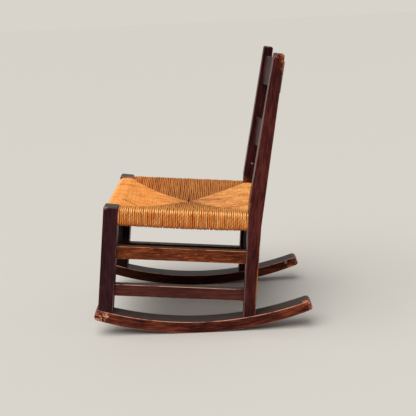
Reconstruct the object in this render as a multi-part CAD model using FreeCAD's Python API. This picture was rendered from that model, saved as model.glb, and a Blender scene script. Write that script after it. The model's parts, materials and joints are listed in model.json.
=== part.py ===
import FreeCAD, Part
import math
import os
from FreeCAD import Vector

# An armless rocking chair with a rush seat, in millimetres and degrees.
# It is drawn with its seat rails level: X across, Y from front to back, Z up, and Y = Z = 0 at
# the lowest point of the runners. At the end the whole chair is turned about the centre of the
# runners' curve until its weight hangs plumb, which is how it rests on the floor.

# Posts
over_posts = 428.0            # across the outer faces of the posts
post_width = 42.0             # across, all four posts
front_post_depth = 42.6       # front to back, square to the post
front_post_y = -189.0         # centre of the front posts at their tops
front_post_top = 376.0
front_rake = 2.7              # front posts lean to the rear
rear_foot_y = 218.8           # centre of the rear posts at their feet
rear_foot_depth = 35.2
rear_foot_level = 69.0        # height at which the foot is measured
knee_front_y = 200.2          # where the front edge of the rear post bends
knee_front_z = 400.0
knee_back_y = 238.3           # where its back edge bends
knee_back_z = 336.6
rear_top_y = 257.4            # centre of the rear posts at their tops
rear_top_depth = 28.4
rear_post_top = 818.0
arris = 1.6                   # eased long edges of posts, stretchers and slats
post_top_chamfer = 3.0

# Runners
runner_radius = 926.0         # underside
runner_top_radius = 951.0
runner_thickness = 35.0       # at the lowest point
runner_outside = 3.0          # stands proud of the posts, outside
runner_inside = 5.0           # and inside
runner_front_reach = 239.0
runner_rear_reach = 405.5
runner_front_top_round = 5.0  # corners of the ends, seen from the side
runner_front_low_round = 12.0
runner_rear_top_round = 12.0
runner_rear_low_round = 9.0
runner_arris = 2.4

# Seat rails and rush
rail_bottom = 326.7
rail_height = 39.4
rail_thickness = 24.0
rail_corner = 8.0
cord = 6.1                    # diameter of the rush cord, one layer over the rails
weave_centre_y = 23.0
weave_dip = 26.0              # of the weave's centre below the rails' rush
weave_core = 2.0              # stuffing left between the layers at the centre
soft_gap = 0.3                # around the rush and its stuffing

# Stretchers
side_stretcher_thickness = 19.5
side_stretcher_setback = 10.0
upper_stretcher_bottom = 219.6
upper_stretcher_height = 38.0
lower_stretcher_bottom = 104.6
lower_stretcher_height = 36.0
front_stretcher_bottom = 160.0
front_stretcher_height = 89.0
front_stretcher_thickness = 18.0
front_stretcher_setback = 3.0
rear_stretcher_bottom = 145.0
rear_stretcher_height = 98.0
rear_stretcher_thickness = 18.0

# Back slats
slat_height = 89.0
slat_thickness = 11.0
slat_bow = 32.0
slat_housing = 14.0           # depth of the slat ends in the posts
upper_slat_drop = 28.0        # top of the upper slat below the tops of the posts
slat_spacing = 197.0          # between the tops of the two slats

# Joints
tenon_length = 20.0
tenon_shoulder = 5.0          # at each face of a stretcher
tenon_spacing = 3.0           # wood left between tenons that pass in a post
rail_tenon_shoulder = 4.0
glue_gap = 0.1
mortise_spare = 1.0           # room at the end of a tenon
dowel_diameter = 12.0
dowel_in_post = 28.0
dowel_in_runner = 20.0

# Weight, in kilograms per cubic metre
oak_density = 700.0
rush_density = 350.0           # cords and packing, with the air between them

# Places that follow from the sizes
outer_x = over_posts / 2
inner_x = outer_x - post_width
post_x = (outer_x + inner_x) / 2
runner_centre = Vector(0, 0, runner_radius)
runner_top_centre_z = runner_thickness + runner_top_radius
rail_top = rail_bottom + rail_height
rail_mid = (rail_bottom + rail_top) / 2
rush_top = rail_top + cord
rush_bottom = rail_bottom - cord
upper_slat_top = rear_post_top - upper_slat_drop
lower_slat_top = upper_slat_top - slat_spacing
x_axis = Vector(1, 0, 0)


def along(low, high, z):
    # Y at height z on the line through two (y, z) points.
    share = (z - low[1]) / (high[1] - low[1])
    return low[0] + share * (high[0] - low[0])


def block(x0, x1, y0, y1, z0, z1):
    return Part.makeBox(x1 - x0, y1 - y0, z1 - z0, Vector(x0, y0, z0))


def mirrored(shape):
    return shape.mirror(Vector(0, 0, 0), x_axis)


def long_edges(solid, direction, shortest):
    picked = []
    for edge in solid.Edges:
        tangent = edge.tangentAt(edge.FirstParameter)
        if edge.Length > shortest and abs(tangent.dot(direction)) > 0.99:
            picked.append(edge)
    return picked


def rounded_wire(corner, across, up, radius):
    # Rectangle from a corner along two vectors, with rounded corners.
    u = Vector(across).normalize()
    v = Vector(up).normalize()
    starts = [corner, corner + across, corner + across + up, corner + up]
    ways = [u, v, -u, -v]
    diagonal = radius * (1 - math.sqrt(0.5))
    edges = []
    for i in range(4):
        here = starts[i]
        before = ways[i - 1]
        after = ways[i]
        bend = here + (after - before) * diagonal
        edges.append(Part.Arc(here - before * radius, bend, here + after * radius).toShape())
        following = starts[(i + 1) % 4]
        edges.append(Part.makeLine(here + after * radius, following - after * radius))
    return Part.Wire(edges)


# Posts as stock, before joints are cut. Each is a loft through sections given by the
# (y, z) points of their front and back edges.
def post_stock(sections, grow=0.0):
    wires = []
    for front, back in sections:
        way = Vector(0, back[0] - front[0], back[1] - front[1])
        step = Vector(way).normalize() * grow
        corner = Vector(inner_x - grow, front[0], front[1]) - step
        width = Vector(post_width + 2 * grow, 0, 0)
        wires.append(rounded_wire(corner, width, way + step * 2, arris + grow))
    return Part.makeLoft(wires, True, True)


def eased_top(sections):
    # The last section moves down by the chamfer and a smaller one closes the top.
    front, back = sections[-1]
    below = sections[-2]
    way = Vector(0, back[0] - front[0], back[1] - front[1]).normalize()
    share = post_top_chamfer / (front[1] - below[0][1])
    lower = []
    for i in range(2):
        top_point = sections[-1][i]
        low_point = below[i]
        y = top_point[0] + share * (low_point[0] - top_point[0])
        z = top_point[1] + share * (low_point[1] - top_point[1])
        lower.append((y, z))
    inset = way * post_top_chamfer
    small = ((front[0] + inset.y, front[1] + inset.z), (back[0] - inset.y, back[1] - inset.z))
    return sections[:-1] + [tuple(lower)], small


def post_solid(sections):
    body_sections, top = eased_top(sections)
    body = post_stock(body_sections)
    front, back = body_sections[-1]
    way = Vector(0, back[0] - front[0], back[1] - front[1])
    wide = rounded_wire(Vector(inner_x, front[0], front[1]), Vector(post_width, 0, 0), way, arris)
    way = Vector(0, top[1][0] - top[0][0], top[1][1] - top[0][1])
    corner = Vector(inner_x + post_top_chamfer, top[0][0], top[0][1])
    width = Vector(post_width - 2 * post_top_chamfer, 0, 0)
    cap = Part.makeLoft([wide, rounded_wire(corner, width, way, arris)], True, True)
    return body.fuse(cap).removeSplitter()


front_lean = math.radians(front_rake)
front_way = Vector(0, math.sin(front_lean), math.cos(front_lean))
front_side = Vector(0, math.cos(front_lean), -math.sin(front_lean))
front_top_point = Vector(0, front_post_y, front_post_top)


def front_face_point(distance):
    # (y, z) points of the front and back edges, a distance down the post from its top.
    centre = front_top_point - front_way * distance
    front = centre - front_side * (front_post_depth / 2)
    back = centre + front_side * (front_post_depth / 2)
    return (front.y, front.z), (back.y, back.z)


front_sections = [front_face_point(front_post_top), front_face_point(0)]

rear_foot_front = (rear_foot_y - rear_foot_depth / 2, rear_foot_level)
rear_foot_back = (rear_foot_y + rear_foot_depth / 2, rear_foot_level)
knee_front = (knee_front_y, knee_front_z)
knee_back = (knee_back_y, knee_back_z)
knee_centre = ((knee_front_y + knee_back_y) / 2, (knee_front_z + knee_back_z) / 2)
back_lean = math.atan2(rear_top_y - knee_centre[0], rear_post_top - knee_centre[1])
half_top_y = rear_top_depth / 2 * math.cos(back_lean)
half_top_z = rear_top_depth / 2 * math.sin(back_lean)
rear_top_front = (rear_top_y - half_top_y, rear_post_top + half_top_z)
rear_top_back = (rear_top_y + half_top_y, rear_post_top - half_top_z)


def rear_front_y(z):
    if z > knee_front_z:
        return along(knee_front, rear_top_front, z)
    return along(rear_foot_front, knee_front, z)


def rear_back_y(z):
    if z > knee_back_z:
        return along(knee_back, rear_top_back, z)
    return along(rear_foot_back, knee_back, z)


def rear_centre_y(z):
    return (rear_front_y(z) + rear_back_y(z)) / 2


def rear_level(z):
    return (rear_front_y(z), z), (rear_back_y(z), z)


rear_sections = [
    rear_level(0.0),
    rear_level(knee_back_z),
    rear_level(knee_front_z),
    (rear_top_front, rear_top_back),
]


# Runners: two arcs and radial ends, rounded and eased.
def runner_solid():
    rise = runner_top_centre_z - runner_radius

    def at(angle, reach):
        return Vector(0, reach * math.sin(angle), runner_radius - reach * math.cos(angle))

    def top_reach(angle):
        # Distance from the lower arc's centre to the upper arc, along a radius of the lower one.
        drop = rise * math.cos(angle)
        return -drop + math.sqrt(drop ** 2 - rise ** 2 + runner_top_radius ** 2)

    front = -math.asin(runner_front_reach / runner_radius)
    rear = math.asin(runner_rear_reach / runner_radius)
    low = [at(front, runner_radius), at(0, runner_radius), at(rear, runner_radius)]
    high = [at(rear, top_reach(rear)), at(0, top_reach(0)), at(front, top_reach(front))]
    edges = [Part.Arc(*low).toShape(), Part.makeLine(low[2], high[0])]
    edges += [Part.Arc(*high).toShape(), Part.makeLine(high[2], low[0])]
    face = Part.Face(Part.Wire(edges))
    face.translate(Vector(inner_x - runner_inside, 0, 0))
    width = post_width + runner_inside + runner_outside
    solid = face.extrude(Vector(width, 0, 0))
    corners = [
        (low[0], runner_front_low_round),
        (low[2], runner_rear_low_round),
        (high[0], runner_rear_top_round),
        (high[2], runner_front_top_round),
    ]
    for corner, radius in corners:
        spot = Part.Vertex(corner + Vector(post_x, 0, 0))
        near = [edge for edge in solid.Edges if edge.distToShape(spot)[0] < arris]
        solid = solid.makeFillet(radius, near)
    sides = []
    for edge in solid.Edges:
        box = edge.BoundBox
        if box.XLength < arris:
            sides.append(edge)
    return solid.makeFillet(runner_arris, sides)


def above_runner():
    # Everything above the runners' upper curve, less the glue line.
    radius = runner_top_radius - glue_gap
    start = Vector(-outer_x, 0, runner_top_centre_z)
    return Part.makeCylinder(radius, over_posts + outer_x, start, x_axis)


def dowel(point, way, grow=0.0):
    # Point is on the runner's upper curve, way points up the post.
    start = point - way * (dowel_in_runner + grow * mortise_spare / glue_gap)
    length = dowel_in_runner + dowel_in_post + 2 * grow * mortise_spare / glue_gap
    return Part.makeCylinder(dowel_diameter / 2 + grow, length, start, way)


def on_runner(start, way):
    # Where a line up a post crosses the runners' upper curve.
    from_centre = start - Vector(start.x, 0, runner_top_centre_z)
    half = from_centre.dot(way)
    root = math.sqrt(half ** 2 - from_centre.dot(from_centre) + runner_top_radius ** 2)
    return start + way * (-half - root)


# Bars between posts. A tenon box runs the whole length of a bar, and the same box
# grown by the glue line cuts its mortises.
def grown(limits, grow, ends):
    # Limits as for block; ends is the axis, 0 or 1, along which the tenon runs.
    low = list(limits[0::2])
    high = list(limits[1::2])
    for axis in range(3):
        room = grow
        if axis == ends and grow > 0:
            room = mortise_spare
        low[axis] -= room
        high[axis] += room
    return block(low[0], high[0], low[1], high[1], low[2], high[2])


def side_bar_reach(z):
    # Where a side bar's tenons end, in the front and the rear post.
    front_back_y = along(front_sections[0][1], front_sections[1][1], z)
    return front_back_y - tenon_length, rear_front_y(z) + tenon_length


def side_stretcher(bottom, height):
    x1 = outer_x - side_stretcher_setback
    x0 = x1 - side_stretcher_thickness
    top = bottom + height
    bar = block(x0, x1, front_post_y, rear_foot_y, bottom, top)
    bar = bar.makeFillet(arris, long_edges(bar, Vector(0, 1, 0), height))
    front_y, rear_y = side_bar_reach((bottom + top) / 2)
    low = bottom + tenon_shoulder
    high = top - tenon_shoulder
    tenon = (x0 + tenon_shoulder, x1 - tenon_shoulder, front_y, rear_y, low, high)
    return bar, tenon


def side_rail():
    x1 = outer_x - cord
    x0 = x1 - rail_thickness
    corner = Vector(x0, front_post_y, rail_bottom)
    wire = rounded_wire(corner, Vector(rail_thickness, 0, 0), Vector(0, 0, rail_height), rail_corner)
    bar = Part.Face(wire).extrude(Vector(0, rear_foot_y - front_post_y, 0))
    front_y, rear_y = side_bar_reach(rail_mid)
    low = rail_bottom + rail_tenon_shoulder
    high = rail_mid - tenon_spacing / 2
    tenon = (x0 + rail_tenon_shoulder, x1 - rail_tenon_shoulder, front_y, rear_y, low, high)
    return bar, tenon


def cross_rail(y0):
    wire_corner = Vector(-inner_x, y0, rail_bottom)
    wire = rounded_wire(wire_corner, Vector(0, rail_thickness, 0), Vector(0, 0, rail_height), rail_corner)
    bar = Part.Face(wire).extrude(Vector(2 * inner_x, 0, 0))
    reach = inner_x + tenon_length
    low = rail_mid + tenon_spacing / 2
    high = rail_top - rail_tenon_shoulder
    y1 = y0 + rail_thickness
    tenon = (-reach, reach, y0 + rail_tenon_shoulder, y1 - rail_tenon_shoulder, low, high)
    return bar, tenon


def cross_stretcher(y0, thickness, bottom, height):
    # A wide board between two posts. Its tenon keeps clear of those of the side stretchers.
    top = bottom + height
    bar = block(-inner_x, inner_x, y0, y0 + thickness, bottom, top)
    bar = bar.makeFillet(arris, long_edges(bar, x_axis, height))
    reach = inner_x + tenon_length
    low = max(bottom, lower_stretcher_bottom + lower_stretcher_height) + tenon_shoulder
    high = min(top, upper_stretcher_bottom + tenon_shoulder - tenon_spacing) - tenon_shoulder
    tenon = (-reach, reach, y0 + tenon_shoulder, y0 + thickness - tenon_shoulder, low, high)
    return bar, tenon


def raked(shape):
    turned = shape.copy()
    turned.rotate(front_top_point, x_axis, -front_rake)
    return turned


def upright(shape):
    return shape


front_post = post_solid(front_sections)
rear_post = post_solid(rear_sections)
front_block = post_stock(front_sections)
rear_block = post_stock(rear_sections)

front_rail_y = along(front_sections[0][0], front_sections[1][0], rail_mid) + cord
rear_rail_y = rear_centre_y(rail_mid) - rail_thickness / 2
front_board_y = front_post_y - front_post_depth / 2 + front_stretcher_setback
rear_board_z = rear_stretcher_bottom + rear_stretcher_height / 2
rear_board_y = rear_centre_y(rear_board_z) - rear_stretcher_thickness / 2
rear_leg_run = rear_centre_y(knee_back_z) - rear_foot_y
rear_leg_rise = knee_back_z - rear_foot_level
rear_board_lean = math.degrees(math.atan2(rear_leg_run, rear_leg_rise))


def legs_lean(shape):
    turned = shape.copy()
    turned.rotate(Vector(0, rear_centre_y(rear_board_z), rear_board_z), x_axis, -rear_board_lean)
    return turned


nodes = {}
mortises = []


def add_bar(name, bar, tenon, ends, turn=upright):
    # Ends of a side bar follow the posts' faces; a cross bar is already cut to them.
    bar = turn(bar)
    if ends == 1:
        bar = bar.cut(front_block).cut(rear_block)
    nodes[name] = bar.fuse(turn(grown(tenon, 0, ends))).removeSplitter()
    mortises.append(turn(grown(tenon, glue_gap, ends)))


for level, bottom, height in (
    ("upper", upper_stretcher_bottom, upper_stretcher_height),
    ("lower", lower_stretcher_bottom, lower_stretcher_height),
):
    add_bar("left_" + level + "_stretcher", *side_stretcher(bottom, height), 1)
add_bar("left_seat_rail", *side_rail(), 1)
add_bar("front_seat_rail", *cross_rail(front_rail_y), 0)
add_bar("rear_seat_rail", *cross_rail(rear_rail_y), 0)
front_board = (front_board_y, front_stretcher_thickness, front_stretcher_bottom, front_stretcher_height)
add_bar("front_stretcher", *cross_stretcher(*front_board), 0, raked)
rear_board = (rear_board_y, rear_stretcher_thickness, rear_stretcher_bottom, rear_stretcher_height)
add_bar("rear_stretcher", *cross_stretcher(*rear_board), 0, legs_lean)


# Back slats: a rounded section bent backwards in plan, with tongues housed in the posts.
slat_radius = (inner_x ** 2 + slat_bow ** 2) / (2 * slat_bow)
slat_centre = slat_bow - slat_radius
slat_end_back = slat_centre + math.sqrt((slat_radius + slat_thickness) ** 2 - inner_x ** 2)


def slat_tongue(side, grow=0.0):
    # Drawn at the end of the slat, with the slat's top at Z = 0.
    shoulder = arris - grow
    length = slat_housing
    if grow > 0:
        length += mortise_spare
    x0 = min(side * inner_x, side * (inner_x + length))
    return block(x0, x0 + length, shoulder, slat_end_back - shoulder, shoulder - slat_height, -shoulder)


def slat_bend():
    corner = Vector(0, slat_bow, -slat_height)
    wire = rounded_wire(corner, Vector(0, slat_thickness, 0), Vector(0, 0, slat_height), arris)
    face = Part.Face(wire)
    axis_point = Vector(0, slat_centre, 0)
    up = Vector(0, 0, 1)
    half = math.degrees(math.asin((inner_x + slat_housing) / slat_radius))
    face.rotate(axis_point, up, -half)
    bend = face.revolve(axis_point, up, 2 * half)
    return bend.common(block(-inner_x, inner_x, -slat_radius, slat_radius, -slat_height, 0))


def on_back(shape, top):
    # From the slat's own place to its height up the back, between the posts' centre lines.
    placed = shape.copy()
    placed.translate(Vector(0, -slat_end_back / 2, 0))
    placed.rotate(Vector(0, 0, 0), x_axis, -math.degrees(back_lean))
    placed.translate(Vector(0, rear_centre_y(top), top))
    return placed


for name, top in (("upper_back_slat", upper_slat_top), ("lower_back_slat", lower_slat_top)):
    slat = slat_bend().fuse([slat_tongue(-1), slat_tongue(1)]).removeSplitter()
    nodes[name] = on_back(slat, top)
    mortises.append(on_back(slat_tongue(1, glue_gap), top))


# Runners, dowels and posts of the left side.
rear_way = Vector(0, rear_leg_run, rear_leg_rise).normalize()
front_foot = on_runner(Vector(post_x, front_post_y, front_post_top), front_way)
rear_foot = on_runner(Vector(post_x, rear_foot_y, rear_foot_level), rear_way)
dowels = [dowel(front_foot, front_way), dowel(rear_foot, rear_way)]
dowel_holes = [dowel(front_foot, front_way, glue_gap), dowel(rear_foot, rear_way, glue_gap)]

nodes["left_runner"] = runner_solid().cut(dowel_holes)
nodes["left_front_post"] = front_post.common(above_runner()).cut(mortises + dowel_holes)
nodes["left_rear_post"] = rear_post.common(above_runner()).cut(mortises + dowel_holes)
nodes["foot_dowels"] = Part.makeCompound(dowels + [mirrored(piece) for piece in dowels])


# Rush seat: four panels that meet on the diagonals, from the posts' inner corners, and fall to
# the centre of the weave. Each panel goes round its rail and back below.
weave_top = rush_top - weave_dip
weave_bottom = weave_top - 2 * cord - weave_core
weave_centre = Vector(0, weave_centre_y, 0)
front_corner_y = along(front_sections[0][1], front_sections[1][1], rail_mid)
rear_corner_y = rear_front_y(rail_mid)
rail_inner_x = outer_x - cord - rail_thickness
sides = ["front", "rear", "left", "right"]


def panel_frame(side):
    # Direction from the weave's centre to a rail, and how far it is to the line between the
    # posts' corners, to the rail's inner face and to the outside of the rush.
    if side == "front":
        inner = weave_centre_y - front_rail_y - rail_thickness
        return Vector(0, -1, 0), weave_centre_y - front_corner_y, inner, inner + rail_thickness + cord
    if side == "rear":
        inner = rear_rail_y - weave_centre_y
        return Vector(0, 1, 0), rear_corner_y - weave_centre_y, inner, inner + rail_thickness + cord
    way = Vector(1, 0, 0) if side == "left" else Vector(-1, 0, 0)
    return way, inner_x, rail_inner_x, outer_x


def corner_way(turn_x, corner_y):
    # Direction of a diagonal, from the weave's centre to a post's inner corner.
    return (Vector(turn_x * inner_x, corner_y, 0) - weave_centre).normalize()


def wedge(side, inset=0.0):
    # Upright prism between the two diagonals of a panel, drawn in by an inset.
    front_left = corner_way(1, front_corner_y)
    rear_left = corner_way(1, rear_corner_y)
    front_right = corner_way(-1, front_corner_y)
    rear_right = corner_way(-1, rear_corner_y)
    pairs = {
        "front": (front_right, front_left),
        "rear": (rear_left, rear_right),
        "left": (front_left, rear_left),
        "right": (rear_right, front_right),
    }
    way_1, way_2 = pairs[side]
    apex = weave_centre + (way_1 + way_2) * (inset / way_1.cross(way_2).Length)
    ends = [apex + way * over_posts for way in (way_1, way_2)]
    face = Part.Face(Part.makePolygon([apex, ends[0], ends[1], apex]))
    return face.extrude(Vector(0, 0, rear_post_top))


def place_section(points, way):
    # Points are (distance from the centre, height); way is the direction to the rail.
    return [weave_centre + way * distance + Vector(0, 0, height) for distance, height in points]


def swept_panel(face, way):
    across = way.cross(Vector(0, 0, 1)) * over_posts
    face.translate(-across)
    return face.extrude(across * 2)


def rush_panel(side):
    way, rim, inner, outer = panel_frame(side)
    radius = rail_corner + cord
    diagonal = radius * (1 - math.sqrt(0.5))
    spots = place_section(
        [
            (0, weave_bottom),
            (rim, rush_bottom),
            (outer - radius, rush_bottom),
            (outer - diagonal, rush_bottom + diagonal),
            (outer, rush_bottom + radius),
            (outer, rush_top - radius),
            (outer - diagonal, rush_top - diagonal),
            (outer - radius, rush_top),
            (rim, rush_top),
            (0, weave_top),
        ],
        way,
    )
    edges = [
        Part.makeLine(spots[0], spots[1]),
        Part.makeLine(spots[1], spots[2]),
        Part.Arc(spots[2], spots[3], spots[4]).toShape(),
        Part.makeLine(spots[4], spots[5]),
        Part.Arc(spots[5], spots[6], spots[7]).toShape(),
        Part.makeLine(spots[7], spots[8]),
        Part.makeLine(spots[8], spots[9]),
        Part.makeLine(spots[9], spots[0]),
    ]
    return swept_panel(Part.Face(Part.Wire(edges)), way).common(wedge(side))


def stuffing(side, gap):
    # A wedge of packing between the layers, from the rail almost to the centre.
    way, rim, inner, outer = panel_frame(side)
    low = cord + gap
    spots = place_section(
        [
            (0, weave_bottom + low),
            (rim, rush_bottom + low),
            (inner - gap, rush_bottom + low),
            (inner - gap, rush_top - low),
            (rim, rush_top - low),
            (0, weave_top - low),
        ],
        way,
    )
    face = Part.Face(Part.makePolygon(spots + [spots[0]]))
    return swept_panel(face, way).common(wedge(side, low))


def rail_tunnel(corner, across, run):
    # The space in the rush that a rail runs through.
    grow = Vector(across).normalize() * soft_gap
    lift = Vector(0, 0, soft_gap)
    up = Vector(0, 0, rail_height) + lift * 2
    wire = rounded_wire(corner - grow - lift, across + grow * 2, up, rail_corner + soft_gap)
    return Part.Face(wire).extrude(run)


side_run = Vector(0, rear_foot_y - front_post_y, 0)
side_corner = Vector(rail_inner_x, front_post_y, rail_bottom)
cross_run = Vector(over_posts, 0, 0)
rooms = [rail_tunnel(side_corner, Vector(rail_thickness, 0, 0), side_run)]
rooms.append(post_stock(front_sections, soft_gap))
rooms.append(post_stock(rear_sections, soft_gap))
beside = inner_x - soft_gap
rooms.append(block(beside, over_posts, -runner_radius, front_post_y, 0, rear_post_top))
rooms.append(block(beside, over_posts, rear_centre_y(rail_mid), runner_radius, 0, rear_post_top))
rooms += [mirrored(room) for room in rooms]
for rail_y in (front_rail_y, rear_rail_y):
    corner = Vector(-outer_x, rail_y, rail_bottom)
    rooms.append(rail_tunnel(corner, Vector(0, rail_thickness, 0), cross_run))
for side in sides:
    nodes[side + "_rush_panel"] = rush_panel(side).cut(rooms + [stuffing(side, 0)])
    nodes[side + "_stuffing"] = stuffing(side, soft_gap)

# The right side mirrors the left.
for name in list(nodes):
    if name.startswith("left_") and name.replace("left_", "right_") not in nodes:
        nodes[name.replace("left_", "right_")] = mirrored(nodes[name])

# Rest: the weight hangs plumb below the centre of the runners' curve.
weight = 0.0
moment = Vector(0, 0, 0)
for name, shape in nodes.items():
    density = rush_density if "rush" in name or "stuffing" in name else oak_density
    for solid in shape.Solids:
        weight += solid.Volume * density
        moment += solid.CenterOfMass * (solid.Volume * density)
centre = moment / weight
recline = math.degrees(math.atan2(centre.y, runner_radius - centre.z))
for shape in nodes.values():
    shape.rotate(runner_centre, x_axis, -recline)

# Origin on the floor, midway between the tips of the runners.
whole = nodes["left_runner"].optimalBoundingBox()
middle = Vector(0, (whole.YMin + whole.YMax) / 2, 0)
os.makedirs("parts", exist_ok=True)
for name, shape in nodes.items():
    shape.translate(-middle)
    shape.exportStep("parts/" + name + ".step")
    print(name, len(shape.Solids), "valid" if shape.isValid() else "not valid", round(shape.Volume))
print("recline", round(recline, 3), "origin y", round(middle.y, 2), "weight kg", round(weight * 1e-9, 2))
print("centre of weight", [round(value, 1) for value in centre])
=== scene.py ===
import json
import math
import random

import bmesh
import bpy
from mathutils import Matrix, Vector
from mathutils import noise as lumps


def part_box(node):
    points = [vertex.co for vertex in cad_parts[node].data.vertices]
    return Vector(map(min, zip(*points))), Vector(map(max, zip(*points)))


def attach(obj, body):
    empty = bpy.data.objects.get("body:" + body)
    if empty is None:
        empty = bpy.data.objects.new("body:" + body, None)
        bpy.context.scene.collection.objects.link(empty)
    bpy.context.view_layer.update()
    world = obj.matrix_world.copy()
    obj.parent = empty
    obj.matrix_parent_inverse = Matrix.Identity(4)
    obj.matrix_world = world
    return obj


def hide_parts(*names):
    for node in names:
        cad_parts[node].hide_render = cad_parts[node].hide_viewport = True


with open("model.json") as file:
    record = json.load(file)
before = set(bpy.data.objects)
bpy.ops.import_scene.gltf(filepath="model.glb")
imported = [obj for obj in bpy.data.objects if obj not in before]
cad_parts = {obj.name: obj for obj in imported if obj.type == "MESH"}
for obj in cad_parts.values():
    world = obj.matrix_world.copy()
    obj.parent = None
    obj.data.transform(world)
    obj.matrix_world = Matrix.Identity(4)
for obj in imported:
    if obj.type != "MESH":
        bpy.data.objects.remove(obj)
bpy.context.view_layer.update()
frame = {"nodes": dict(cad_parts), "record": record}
print("chair loaded:", len(frame["nodes"]), "nodes")


class Shade:
    # one socket of a node tree; sums on it add their own Math nodes
    def __init__(self, tree, socket=None):
        self.tree = tree
        self.socket = socket

    def node(self, kind, settings=None, sockets=None, out=0):
        made = self.tree.nodes.new(kind)
        for name, value in (settings or {}).items():
            if name == "stops":
                elements = made.color_ramp.elements
                while len(elements) < len(value):
                    elements.new(1.0)
                for element, (place, colour) in zip(elements, value):
                    element.position = place
                    element.color = (*colour, 1.0)
            else:
                setattr(made, name, value)
        for name, value in (sockets or {}).items():
            if isinstance(value, Shade):
                self.tree.links.new(value.socket, made.inputs[name])
            else:
                made.inputs[name].default_value = value
        return Shade(self.tree, made.outputs[out] if len(made.outputs) else None)

    def split(self):
        parts = self.node("ShaderNodeSeparateXYZ", None, {0: self})
        return [Shade(self.tree, socket) for socket in parts.socket.node.outputs]

    def sum(self, operation, first, second=0.0):
        return self.node("ShaderNodeMath", {"operation": operation}, {0: first, 1: second})

    def __add__(self, other):
        return self.sum("ADD", self, other)

    def __radd__(self, other):
        return self.sum("ADD", other, self)

    def __sub__(self, other):
        return self.sum("SUBTRACT", self, other)

    def __rsub__(self, other):
        return self.sum("SUBTRACT", other, self)

    def __mul__(self, other):
        return self.sum("MULTIPLY", self, other)

    def __rmul__(self, other):
        return self.sum("MULTIPLY", other, self)

    def __truediv__(self, other):
        return self.sum("DIVIDE", self, other)

    def __rtruediv__(self, other):
        return self.sum("DIVIDE", other, self)

    def __pow__(self, other):
        return self.sum("POWER", self, other)

    def __abs__(self):
        return self.sum("ABSOLUTE", self)


def rgb(red, green, blue):
    # screen values made linear
    shares = [value / 255 for value in (red, green, blue)]
    return tuple(s / 12.92 if s < 0.04045 else ((s + 0.055) / 1.055) ** 2.4 for s in shares)


def larger(first, second):
    return first.sum("MAXIMUM", first, second)


def ease(value, low, high):
    # 0 below low, 1 above high, smooth between
    reach = {"Value": value, "From Min": low, "From Max": high}
    return value.node("ShaderNodeMapRange", {"interpolation_type": "SMOOTHSTEP"}, reach)


def tint(share, first, second):
    colours = {0: share}
    for place, colour in ((6, first), (7, second)):
        colours[place] = colour if isinstance(colour, Shade) else (*colour, 1.0)
    return share.node("ShaderNodeMix", {"data_type": "RGBA"}, colours, 2)


def noise(place, scale, detail, roughness, swirl=0.0):
    sockets = {"Vector": place, "Scale": scale, "Detail": detail, "Roughness": roughness, "Distortion": swirl}
    return place.node("ShaderNodeTexNoise", None, sockets)


def stretched(place, along):
    return place.node("ShaderNodeVectorMath", {"operation": "MULTIPLY"}, {0: place, 1: (1, 1, along)})


def dot(first, second):
    return first.node("ShaderNodeVectorMath", {"operation": "DOT_PRODUCT"}, {0: first, 1: second}, "Value")


def distance(place, point):
    return place.node("ShaderNodeVectorMath", {"operation": "DISTANCE"}, {0: place, 1: point}, "Value")


def ramp(value, stops):
    return value.node("ShaderNodeValToRGB", {"stops": stops}, {0: value})


def bump(height, strength, depth):
    return height.node("ShaderNodeBump", None, {"Strength": strength, "Distance": depth, "Height": height})


def newMaterial(name):
    material = bpy.data.materials.new(name)
    material.use_nodes = True
    material.node_tree.nodes.clear()
    return material, Shade(material.node_tree)


def closeMaterial(bench, finish):
    surface = bench.node("ShaderNodeBsdfPrincipled", None, finish)
    bench.node("ShaderNodeOutputMaterial", None, {0: surface})


def newObject(name, data):
    made = bpy.data.objects.new(name, data)
    bpy.context.scene.collection.objects.link(made)
    return made


def addPiece(name, mesh, slot, *nodes):
    piece = newObject(name, mesh)
    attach(piece, "root")
    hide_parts(*nodes)
    return piece


def dress(mesh, material):
    mesh.materials.clear()
    mesh.materials.append(material)


def mergedCopy(node):
    # the loose triangles of a CAD node, joined
    mesh = frame["nodes"][node].data.copy()
    shape = bmesh.new()
    shape.from_mesh(mesh)
    bmesh.ops.remove_doubles(shape, verts=shape.verts, dist=0.00002)
    shape.to_mesh(mesh)
    shape.free()
    return mesh


def settled(draft):
    # a draft's shape with its modifiers, as a plain mesh, and the draft taken away
    graph = bpy.context.evaluated_depsgraph_get()
    mesh = bpy.data.meshes.new_from_object(draft.evaluated_get(graph), depsgraph=graph)
    bpy.data.objects.remove(draft)
    return mesh


def middleOf(node):
    low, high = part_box(node)
    return (low + high) / 2


# The chair's own directions, from the two cross rails of the seat
frontRail = middleOf("front_seat_rail")
rearRail = middleOf("rear_seat_rail")
seatTilt = math.atan2(frontRail.z - rearRail.z, rearRail.y - frontRail.y)
seatBack = Vector((0, math.cos(seatTilt), -math.sin(seatTilt)))
seatUp = Vector((0, math.sin(seatTilt), math.cos(seatTilt)))
print("seat leans back by", round(math.degrees(seatTilt), 2), "degrees")

# Grain: which way each piece of wood runs, and the centre of the runners' curve
runnerRadius = 0.926
floorPoint = frame["record"]["mounts"][0]["pos_m"]
runnerCentre = Vector((0, floorPoint[1], runnerRadius))
postRake = math.radians(2.8)       # of the posts, before the chair leans back
postLean = seatTilt + postRake
grainTurns = {
    "post": (postLean, 0, 0),
    "side": (math.pi / 2 + seatTilt, 0, 0),
    "across": (0, -math.pi / 2, 0),
}


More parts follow.
